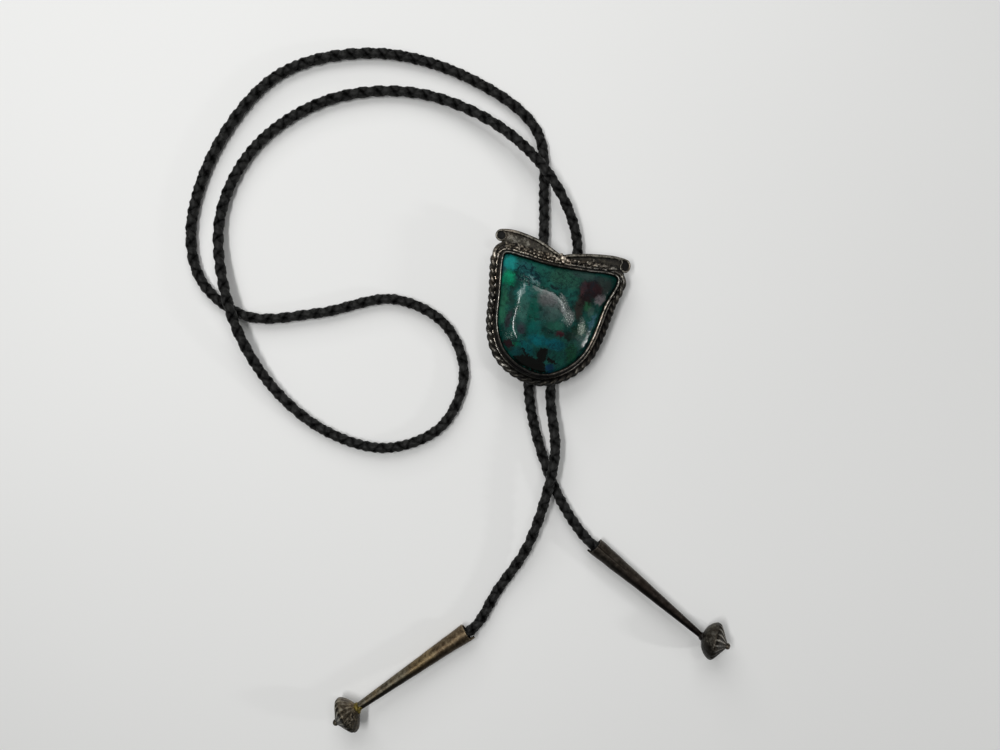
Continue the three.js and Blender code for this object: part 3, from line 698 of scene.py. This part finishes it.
def scroll_shade_disc(wing):
    """A low disc painted dark as the shade in the hollow inside a scroll."""
    along, rise, radius, tall, _, _ = wing["scroll"]
    middle = wing_point(wing["side"], along, rise)
    turn = np.arange(SHADE_DISC_SIDES) * TAU / SHADE_DISC_SIDES
    around = np.column_stack([np.cos(turn), np.sin(turn) * tall])
    levels = [(radius - 0.15, 1.05), (radius - 0.3, 1.16), (0.7, 1.12)]
    points = np.vstack([at_height(middle + around * r, z) for r, z in levels])
    # Painted shade: dark and unrubbed.
    fields = {"wear_and_shade": np.full(len(points), 0.05), "painted_light": np.full(len(points), -0.9)}
    return points, capped_faces(len(levels), SHADE_DISC_SIDES), fields


def build_plate():
    """Back plate with the wings cut in one sheet with it, its edge softened."""
    count = 320
    rings = [at_height(outline(count, PLATE_BORDER + inset)[0], height) for inset, height in PLATE_EDGE]
    points = np.vstack(rings)
    fields = {"wear_and_shade": np.full(len(points), 0.3), "painted_light": np.zeros(len(points))}
    parts = [(points, capped_faces(len(rings), count), fields), wing_sheet()]
    parts += [scroll_shade_disc(wing) for wing in WINGS]
    plate = add_mesh("slide_plate", merge(parts), slide_silver, slide, smooth=False)
    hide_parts("setting")


build_plate()


# Bezel section, as outward offset, height and rub: foot wire, groove, leaning wall and lip

BEZEL_SECTION = [
    (0.25, 1.1, 0.1), (2.3, 1.1, 0.0), (2.35, 1.7, 0.2), (2.25, 2.1, 0.8), (2.0, 2.4, 1.25),
    (1.75, 2.4, 0.9), (1.5, 2.2, 0.1), (1.35, 2.1, 0.0), (1.2, 2.5, 0.1), (1.05, 3.3, 0.2),
    (0.92, 4.2, 0.3), (0.8, 4.85, 0.3), (0.62, 5.14, 0.5), (0.46, 5.24, 1.3), (0.32, 5.24, 1.2),
    (0.12, 5.05, 0.2), (0.05, 4.6, 0.0), (0.2, 3.2, 0.0),
]
FOOT_WIRE_TOP = 2.45
FOOT_WIRE_INSIDE = 1.4
LIP_FROM = 4


def build_bezel():
    """The bezel: a round foot wire, a groove, a leaning wall and a thin lip over the stone, with painted
    light and shade by bearing and a painted highlight on the lip at the right.
    """
    count = 360
    rings, wear_and_shade, painted_light = [], [], []
    steps = np.arange(count) * TAU / count
    wobble = 0.05 * np.sin(steps * 23 + 1.0) + 0.04 * np.sin(steps * 9)
    for offset, height, rub in BEZEL_SECTION:
        ring, _, _ = outline(count, offset)
        rings.append(at_height(ring, height + wobble * (height > LIP_FROM)))
        # Painted shade towards the lower left and along the top.
        dull = 0.5 * near(ring, 250, 75) + 0.3 * near(ring, 95, 40)
        if height < FOOT_WIRE_TOP and offset > FOOT_WIRE_INSIDE:
            # Foot wire: painted shade where dull, painted light at the left and the top, painted shade at the
            # bottom.
            wear_and_shade.append(rub * (1.25 - 1.7 * dull))
            lit = 0.9 * near(ring, 180, 75) + 0.8 * near(ring, 115, 60)
            painted_light.append(lit - 0.9 * near(ring, 265, 70))
        else:
            # Wall and lip: painted shade where dull, and a painted highlight at the right, brightest on the
            # lip.
            wear_and_shade.append(rub * (0.7 - dull + 0.3 * near(ring, 0, 60)))
            painted_light.append(0.9 * (rub > 1) * near(ring, 5, 52) - 0.5 * dull)
    points = np.stack(rings, axis=1).reshape(-1, 3)
    faces = grid_faces(count, len(BEZEL_SECTION), wrap_rows=True, flip=True)
    fields = {"wear_and_shade": np.stack(wear_and_shade, axis=1).reshape(-1), "painted_light": np.stack(painted_light, axis=1).reshape(-1)}
    add_mesh("slide_bezel", (points, faces, fields), rope_silver, slide)


build_bezel()


def tube(line, radius, sides, closed=False):
    """A round wire along a line; radius may change along it. Its crown is rubbed most."""
    side, upward = frames_along(line, closed)
    radius = np.broadcast_to(radius, len(line))
    rows, field = [], []
    for k in range(sides):
        a = TAU * k / sides
        rows.append(line + (math.cos(a) * side + math.sin(a) * upward) * radius[:, None])
        field.append(np.full(len(line), 0.85 * (0.35 + 0.65 * max(0.0, math.sin(a)) ** 1.5)))
    points = np.stack(rows, axis=1).reshape(-1, 3)
    faces = grid_faces(len(line), sides, wrap_rows=True) if closed else capped_faces(len(line), sides)
    return points, faces, {"wear_and_shade": np.stack(field, axis=1).reshape(-1)}


ROPE_OFFSET = 3.25
ROPE_TURN = 5.3
STRAND_RADIUS = 0.80
STRAND_SPREAD = 0.50
ROPE_HEIGHT = PLATE + 0.85
STRAND_SIDES = 10


def build_rope():
    """Two round wires twisted together, laid round the bezel and soldered down, lower along the top."""
    count = 1500
    centre, outward, length = outline(count, ROPE_OFFSET)
    turns = round(length / ROPE_TURN)
    twist = np.arange(count) * TAU * turns / count
    top = near(centre, 92, 52)
    spread = STRAND_SPREAD - 0.16 * top
    height = ROPE_HEIGHT - 0.35 * top
    # Painted light along the top, painted shade along the right side and the bottom.
    shade = border_painted_light(centre)
    parts = []
    for phase in (0.0, math.pi):
        a = twist + phase
        line = centre + outward * (np.cos(a) * spread)[:, None]
        line[:, 2] = height + np.sin(a) * spread
        points, faces, _ = tube(line, STRAND_RADIUS - 0.18 * top, STRAND_SIDES, closed=True)
        crown = (points[:, 2] - (PLATE + 0.5)) / 1.8
        wear_and_shade = np.clip(crown, 0.0, 1.0) ** 1.9 * 0.92
        parts.append((points, faces, {"wear_and_shade": wear_and_shade, "painted_light": np.repeat(shade, STRAND_SIDES)}))
    add_mesh("slide_rope", merge(parts), rope_silver, slide)


build_rope()


# The loose hook of wire inside the right wing's scroll

HOOK_WIRE = [(21.5, 21.7, 1.5), (21.2, 23.1, 1.6), (21.5, 24.4, 1.6), (21.0, 25.2, 1.6), (20.2, 25.0, 1.5)]
HOOK_RADIUS = 0.34


def build_rim_wires():
    """One wire along each wing's edge, thinning into a scroll at its end, and the hook at the right."""
    parts = []
    for wing in WINGS:
        rim = [wing_point(wing["side"], along, rise) for along, rise in wing["rim"]]
        flat = np.vstack([rim, scroll_line(wing, 12, wing["scroll"][-1], 0.12)[1:]])
        line, _ = even_points(smooth_line(at_height(flat, 0.0), 10), 150)
        share = np.linspace(0, 1, len(line))
        radius = np.interp(share, [0, 0.06, 0.55, 0.75, 1.0], [0.45, 0.66, 0.66, 0.40, 0.33])
        line[:, 2] = 1.0 + radius * 0.9
        parts.append(tube(line, radius, 12))
    parts.append(tube(smooth_line(HOOK_WIRE, 8), HOOK_RADIUS, 10))
    add_mesh("slide_rim_wires", merge(parts), slide_silver, slide)


build_rim_wires()


def ball(centre, radius, squash=1.0, rings=8, sides=12, wear_and_shade=0.9):
    """A small ball, flattened by squash, rubbed on its upper half."""
    points, field = [], []
    for i in range(1, rings):
        polar = math.pi * i / rings
        rise = -math.cos(polar)
        for j in range(sides):
            a = TAU * j / sides
            points.append((centre[0] + radius * math.sin(polar) * math.cos(a),
                           centre[1] + radius * math.sin(polar) * math.sin(a),
                           centre[2] + radius * squash * rise))
            field.append(wear_and_shade * rise ** 0.7 if rise > 0 else 0.1)
    faces = grid_faces(rings - 1, sides)
    points += [(*centre[:2], centre[2] - radius * squash), (*centre[:2], centre[2] + radius * squash)]
    field += [0.0, wear_and_shade]
    bottom, top = len(points) - 2, len(points) - 1
    last = (rings - 2) * sides
    faces += [((j + 1) % sides, j, bottom) for j in range(sides)]
    faces += [(last + j, last + (j + 1) % sides, top) for j in range(sides)]
    return np.array(points), faces, {"wear_and_shade": np.array(field)}


# Grains at the notch: across, up, height and radius

NOTCH_GRAINS = [
    (0.4, 21.7, 2.5, 1.3), (2.2, 21.2, 2.3, 0.85), (-1.5, 21.1, 2.4, 0.8), (0.6, 20.4, 3.0, 0.75),
    (3.5, 21.5, 2.1, 0.6), (-0.3, 22.9, 1.9, 0.6), (1.6, 22.6, 1.9, 0.5),
]
GRAIN_OFFSET = 2.9
GRAIN_LEFT, GRAIN_RIGHT, GRAIN_BOTTOM = -20.8, 17, 15.5
GRAIN_HEIGHT = 2.4

# Rows of grains: pitch, radius, and how far up and how much higher each row lies

GRAIN_ROWS = [(1.55, 0.66, 0.75, 0.1), (1.35, 0.5, -0.2, 0.25), (1.5, 0.42, -0.95, 0.0)]


def build_grains():
    """The cluster at the notch, three rows along the top border and a short row on the right wing."""
    parts = [ball(grain[:3], grain[3], 0.9) for grain in NOTCH_GRAINS]
    count = 900
    centre, _, length = outline(count, GRAIN_OFFSET)
    top = [p for p in centre if p[1] > GRAIN_BOTTOM and GRAIN_LEFT < p[0] < GRAIN_RIGHT]
    for pitch, radius, up, lift in GRAIN_ROWS:
        for p in top[:: round(count / length * pitch)]:
            jitter = rng.uniform(-1.0, 1.0, 5)
            smaller, closer = (1.0, 1.0) if p[0] < 0 else (0.75, 0.7)
            size = radius * (1 + 0.3 * jitter[2]) * smaller
            across = p[0] + 0.3 * jitter[0]
            place = (across, p[1] + up * closer + 0.2 * jitter[1], GRAIN_HEIGHT + lift)
            parts.append(ball(place, size, 0.95, 7, 10, wear_and_shade=0.65 + 0.35 * jitter[3]))
    for i in range(6):
        parts.append(ball((11.3, 21.4 + 0.36 * i, 2.3 - 0.07 * i), 0.36, 0.9, 6, 8))
    points, faces, fields = merge(parts)
    # Painted light along the top, painted shade at the right and the bottom.
    fields["painted_light"] = 0.8 * np.clip(border_painted_light(points), -0.2, 1.0)
    add_mesh("slide_grains", (points, faces, fields), rope_silver, slide)


build_grains()

# Tips: cone rolled from sheet, fluted bead, knob and solder

MOUTH_RADIUS = 3.15
BEAD_RADIUS = 6.6
BEAD_LENGTH = 8.4
FLUTES = 20
CONE_WALL = 0.75
LIP_WALL = 0.65
SEAM_LAP = 0.42
SEAM_HALF = 0.16
CORNER_JUT = 1.5
CORNER_HALF = 0.34

# Angles in degrees: turn and tilt seat the bead, and seam, corner and shade are bearings round the cone.
# Blobs are balls of solder at the neck, and tones run from the mouth to the neck

TIPS = [
    dict(name="tip_left", mouth=(-23.5, -53.8), heading=213.7, turn=0, tilt=0,
         cone=46.3, neck=1.35, seam=-8, seam_length=6, corner=20, shade=195,
         belly=0.25, inner_flutes=0.25, shade_depth=0.7, speckle=1.0, solder=(0.20, 0.15, 0.035),
         blobs=[(1.2, -0.4, 1.1, 1.5), (0.5, 1.1, 0.5, 1.2), (-1.2, 0.3, 0.6, 1.0), (1.9, 1.4, 1.2, 1.1)],
         cone_tones=dict(mouth=(0.31, 0.24, 0.15), middle=(0.40, 0.31, 0.17), neck=(0.27, 0.25, 0.19)),
         bead_tones=dict(mouth=(0.38, 0.30, 0.18), middle=(0.40, 0.36, 0.285), neck=(0.36, 0.35, 0.285))),
    dict(name="tip_right", mouth=(22.6, -23.1), heading=-40.1, turn=22, tilt=12,
         cone=49.0, neck=1.0, seam=80, seam_length=14, corner=172, shade=-10,
         belly=1.0, inner_flutes=0.12, shade_depth=0.95, speckle=0.7, solder=(0.05, 0.045, 0.04), blobs=[],
         cone_tones=dict(mouth=(0.125, 0.108, 0.09), middle=(0.095, 0.075, 0.062),
                         neck=(0.075, 0.062, 0.055)),
         bead_tones=dict(mouth=(0.13, 0.12, 0.095), middle=(0.15, 0.14, 0.12), neck=(0.42, 0.40, 0.36))),
]

# Bead profile by belly: share of its half length, radius and how much the belly adds

BEAD_PROFILE = [
    (-1.0, 1.55, 0.0), (-0.8, 2.8, 1.1), (-0.48, 4.8, 0.75), (-0.22, 6.2, 0.1), (0.0, BEAD_RADIUS, 0.0),
    (0.22, 6.25, 0.0), (0.45, 5.0, 0.0), (0.78, 2.8, 0.0), (1.0, 1.4, 0.0),
]

# Knob profile: distance from the bead's middle, radius and rub

KNOB_PROFILE = [
    (3.2, 0.9, 0.1), (3.7, 0.9, 0.2), (4.1, 1.0, 0.3), (4.35, 1.12, 0.35), (4.7, 1.15, 0.35),
    (5.05, 1.08, 0.3), (5.4, 0.85, 0.3), (5.62, 0.55, 0.2), (5.6, 0.3, 0.0), (5.3, 0.12, 0.0),
]


def tip_material(name, tones, uneven=1.0, speckle=0.0):
    """Old silver, toned from mouth to neck, dark in the grooves and with painted shade on the side away from
    the light.
    """
    n = Nodes(name)
    lit = n.field("lit")
    broad = n.noise(60.0, 3.0, 0.6, distortion=0.5)
    second = n.noise(140.0, 4.0, 0.6)
    small = n.noise(620.0, 5.0, 0.7)
    specks = n.noise(1500.0, 4.0, 0.7)
    stretch = n.vector("MULTIPLY", n.place, (0.12, 1.0, 1.0))
    brushed = n.noise(2600.0, 3.0, 0.6, stretch)
    place_along = n.math("ADD", n.field("along"), n.ramp(broad, 0.3, 0.7, -0.22, 0.22))
    high = n.blend(n.ramp(place_along, 0.1, 0.45), tones["mouth"], tones["middle"])
    high = n.blend(n.ramp(place_along, 0.5, 0.9), high, tones["neck"])
    low = n.times(high, (0.24, 0.21, 0.18))
    dark = n.times(high, (0.05, 0.045, 0.04))
    amount = n.math("ADD", n.field("wear_and_shade"), n.ramp(small, 0.3, 0.7, -0.2 * uneven, 0.2 * uneven))
    color = n.blend(n.ramp(amount, 0.0, 0.4), dark, low)
    color = n.blend(n.ramp(amount, 0.3, 0.95), color, high)
    color = n.tint(n.ramp(second, 0.52, 0.66, 0.0, 0.3), color, (0.5, 0.45, 0.42))
    # Painted shade: dark blots and a darkening on the side away from the light.
    shaded_side = n.ramp(lit, 1.0, 0.8, 0.25, 1.0)
    blots = n.math("MULTIPLY", n.ramp(specks, 0.52, 0.48, 0.0, 1.0), n.math("MULTIPLY", shaded_side, speckle))
    color = n.blend(blots, color, dark)
    color = n.tint(n.ramp(specks, 0.57, 0.68, 0.0, 0.5), color, (2.2, 2.1, 1.8))
    color = n.blend(n.ramp(lit, 0.0, 1.0, 0.97, 0.0), color, dark)
    roughness = n.math("ADD", n.ramp(small, 0.3, 0.7, 0.4, 0.58), n.ramp(brushed, 0.3, 0.7, -0.04, 0.06))
    normal = n.bump(small, 0.5, 0.00016)
    normal = n.bump(brushed, 0.25, 0.00005, normal)
    return n.finish(color, roughness, 0.88, normal)


def solder_material(name, light):
    n = Nodes(name)
    small = n.noise(700.0, 4.0, 0.6)
    color = n.blend(n.ramp(small, 0.35, 0.65), tuple(0.35 * c for c in light), light)
    return n.finish(color, n.ramp(small, 0.3, 0.7, 0.3, 0.5), 0.9, n.bump(small, 0.4, 0.0002))


def tip_ring(x, radius, angles):
    """A ring of points round a tip's axis."""
    x = np.broadcast_to(x, angles.shape)
    return np.column_stack([x, np.cos(angles) * radius, np.sin(angles) * radius])


def cone_part(tip):
    """The rolled sheet: outer and inner wall that share a ragged mouth, with one overlapping edge."""
    sides = 96
    steps = 120
    angles = np.arange(sides) * TAU / sides
    around = (angles - math.radians(tip["seam"])) % TAU
    away = np.abs((angles - math.radians(tip["corner"]) + math.pi) % TAU - math.pi)
    jut = -CORNER_JUT * np.clip(1 - away / CORNER_HALF, 0, 1) ** 0.8 - 0.12 * np.sin(angles * 3 + 1.0)
    outer, field = [], []
    for i in range(steps):
        share = (i / (steps - 1)) ** 1.15
        x = jut * (1 - share) ** 12 + share * (tip["cone"] + 0.8)
        base = MOUTH_RADIUS + (tip["neck"] - MOUTH_RADIUS) * np.clip(x / tip["cone"], 0, 1)
        fade = max(0.0, 1 - share * tip["cone"] / tip["seam_length"])
        lap = SEAM_LAP * fade ** 0.5 * (1 - around / TAU)
        bumps = 0.035 * np.sin(x * 0.9 + angles * 2) + 0.03 * np.sin(x * 0.37 + angles)
        outer.append(tip_ring(x, base - 0.2 * fade + lap + bumps * (1 - share), angles))
        # Painted highlight on the overlapping edge of the seam, painted shade on the step beside it.
        seam_highlight = np.clip(1 - around / SEAM_HALF, 0, 1) * fade ** 0.5
        seam_shade = np.clip(1 - (TAU - around) / SEAM_HALF, 0, 1) * fade ** 0.5
        edge = max(0.0, 1 - i / 2.0) * 0.35
        field.append(np.clip(0.5 + 0.5 * seam_highlight - 0.5 * seam_shade + edge, 0, 1))
    inner = []
    for i, depth in enumerate((0.0, 0.6, 2.5, 5.0, 7.5)):
        bore = MOUTH_RADIUS - (CONE_WALL if i else LIP_WALL)
        inner.append(tip_ring(jut * max(0.0, 1 - i * 0.35) + depth, bore, angles))
    rings = inner[::-1] + outer
    points = np.vstack(rings)
    wear_and_shade = np.concatenate([np.full(sides * len(inner), 0.12), *field])
    away_side = -np.cos(angles - math.radians(tip["shade"]))
    along = np.clip(points[:, 0] / tip["cone"], 0, 1)
    dark_side = np.tile(np.clip(1.1 + 1.4 * (away_side - 0.55), 0, 1) ** 1.2, len(rings))
    lit = 1 - np.clip(0.55 + 0.6 * along, 0, 1) * dark_side
    lit = np.where(along > 0.97, 0.8, lit)
    return points, capped_faces(len(rings), sides, flip=True), {"wear_and_shade": wear_and_shade, "lit": lit, "along": along}


def bead_part(tip):
    """A double cone with a rounded rim, its sides gathered into flutes that meet at neck and knob."""
    half = BEAD_LENGTH / 2
    corners = [(half * share, radius + more * tip["belly"], 0.0) for share, radius, more in BEAD_PROFILE]
    sides = FLUTES * 10
    angles = np.arange(sides) * TAU / sides
    rings, field = [], []
    for x, r, _ in smooth_line(corners, 7):
        share = abs(x) / half
        depth = 0.085 * np.interp(share, [0, 0.16, 0.5, 0.85, 1.0], [0.25, 0.8, 1.0, 0.8, 0.25])
        wave = 0.5 + 0.5 * np.cos(angles * FLUTES + 0.5 * x)
        groove = (1 - wave) ** 2.2
        fluted = tip["inner_flutes"] if x < -0.1 else 1.0
        rings.append(tip_ring(x, r * (1 - depth * groove * fluted), angles))
        proud = 0.9 * np.interp(share, [0, 0.1, 0.5, 0.8, 1.0], [0.4, 1.0, 1.0, 0.6, 0.4]) * wave ** 5
        field.append(np.clip(0.5 - 0.38 * fluted + fluted * (proud - 0.2 * groove), 0.0, 1.0))
    points = np.vstack(rings)
    along = (points[:, 0] + half) / BEAD_LENGTH
    away_side = -np.cos(angles - math.radians(tip["shade"]))
    lit = np.tile(1 - tip["shade_depth"] * np.clip(0.1 + 1.2 * away_side, 0, 1) ** 1.2, len(rings))
    fields = {"wear_and_shade": np.concatenate(field), "lit": lit, "along": along}
    return points, capped_faces(len(rings), sides, flip=True), fields


def knob_part():
    """A small round knob on the bead's far end, with a dimple."""
    sides = 20
    angles = np.arange(sides) * TAU / sides
    points = np.vstack([tip_ring(x, radius, angles) for x, radius, _ in KNOB_PROFILE])
    wear_and_shade = np.repeat([rub for _, _, rub in KNOB_PROFILE], sides)
    fields = {"wear_and_shade": wear_and_shade, "lit": np.ones(len(points)), "along": np.ones(len(points))}
    return points, capped_faces(len(KNOB_PROFILE), sides, flip=True), fields


def tip_pitch(tip):
    """How far a cone's axis rises, so that the tip rests on the rims of its mouth and its bead."""
    pitch = 0.0
    for _ in range(6):
        lean = pitch + math.radians(tip["tilt"])
        neck_height = BEAD_RADIUS * math.cos(lean) - BEAD_LENGTH / 2 * math.sin(lean)
        pitch = math.asin((neck_height - MOUTH_RADIUS * math.cos(pitch)) / tip["cone"])
    return pitch


def build_tip(tip):
    """A cone, a bead with its knob, and the solder between them, in the cone's own frame."""
    name = tip["name"]
    pitch = tip_pitch(tip)
    place = Matrix.Translation(Vector((*tip["mouth"], MOUTH_RADIUS * math.cos(pitch))) * MM)
    place = place @ Matrix.Rotation(math.radians(tip["heading"]), 4, "Z") @ Matrix.Rotation(-pitch, 4, "Y")
    seat = Matrix.Rotation(math.radians(tip["turn"]), 3, "Z")
    seat = np.array(seat @ Matrix.Rotation(math.radians(-tip["tilt"]), 3, "Y"))
    silver = tip_material(name + "_cone_silver", tip["cone_tones"])
    cone = add_mesh(name + "_cone", cone_part(tip), silver, place)
    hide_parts(name)
    parts = []
    for points, faces, fields in (bead_part(tip), knob_part()):
        points = (points + [BEAD_LENGTH / 2, 0, 0]) @ seat.T + [tip["cone"], 0, 0]
        parts.append((points, faces, fields))
    silver = tip_material(name + "_bead_silver", tip["bead_tones"], 1.5, tip["speckle"])
    add_mesh(name + "_bead", merge(parts), silver, place)
    balls = [ball((tip["cone"] + 0.2, 0.0, 0.0), tip["neck"] + 0.55, 1.0, 8, 14)]
    balls += [ball((tip["cone"] + x, y, z), radius, 0.9, 8, 14) for x, y, z, radius in tip["blobs"]]
    solder = solder_material(name + "_solder", tip["solder"])
    add_mesh(name + "_solder", merge(balls), solder, place)


for tip in TIPS:
    build_tip(tip)

# Clip: the frame's own solid, plain metal with fine scratches

def clip_material():
    n = Nodes("plain_clip_metal")
    streak = n.noise(1800.0, 3.0, 0.6, n.vector("MULTIPLY", n.place, (1.0, 0.1, 1.0)))
    dull = n.noise(120.0, 4.0, 0.6)
    color = n.blend(n.ramp(dull, 0.35, 0.65), (0.19, 0.175, 0.155), (0.34, 0.32, 0.29))
    roughness = n.math("ADD", n.ramp(streak, 0.3, 0.7, 0.28, 0.42), n.ramp(dull, 0.3, 0.7, 0.0, 0.1))
    return n.finish(color, roughness, 0.9, n.bump(streak, 0.2, 0.00005))


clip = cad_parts["cord_clip"]
clip.data.materials.clear()
clip.data.materials.append(clip_material())

# Floor and light

def floor_material():
    n = Nodes("pale_floor")
    soft = n.noise(3.0, 2.0, 0.5)
    color = n.blend(n.ramp(soft, 0.3, 0.7), (0.80, 0.80, 0.79), (0.83, 0.83, 0.82))
    return n.finish(color, 0.75, 0.0, n.bump(n.noise(900.0, 2.0, 0.5), 0.02, 0.0002))


floor_mesh = bpy.data.meshes.new("floor")
floor_mesh.from_pydata([(-2, -2, 0), (2, -2, 0), (2, 2, 0), (-2, 2, 0)], [], [(0, 1, 2, 3)])
floor_mesh.materials.append(floor_material())
floor = add_object("floor", floor_mesh)


def area_light(name, place, target, width, height, power):
    """A soft rectangular lamp, in metres and watts, that faces its target."""
    data = bpy.data.lights.new(name, "AREA")
    data.shape = "RECTANGLE"
    data.size = width
    data.size_y = height
    data.energy = power
    light = add_object(name, data)
    light.location = place
    light.rotation_euler = (Vector(target) - Vector(place)).to_track_quat("-Z", "Y").to_euler()
    return light


fill = area_light("far_fill", (-0.14, 0.60, 0.52), (-0.02, 0.06, 0.0), 0.8, 0.45, 3.3)
fill.visible_glossy = False
area_light("left_strip", (-0.198, 0.03, 0.56), (0.0, 0.03, 0.0), 0.30, 0.05, 1.45)
area_light("upper_panel", (0.25, 0.19, 0.70), (0.07, -0.05, 0.0), 0.17, 0.06, 0.34)
area_light("right_low_panel", (0.50, -0.12, 0.20), (0.0, 0.05, 0.0), 0.04, 0.045, 0.4)
area_light("far_panel", (-0.30, 0.80, 0.30), (-0.02, 0.10, 0.0), 0.5, 0.12, 0.9)

world = bpy.data.worlds.new("studio")
world.use_nodes = True
background = world.node_tree.nodes["Background"]
background.inputs[0].default_value = (0.98, 1.0, 0.98, 1.0)
background.inputs[1].default_value = 0.11
bpy.context.scene.world = world
bpy.context.scene.view_settings.view_transform = "Standard"
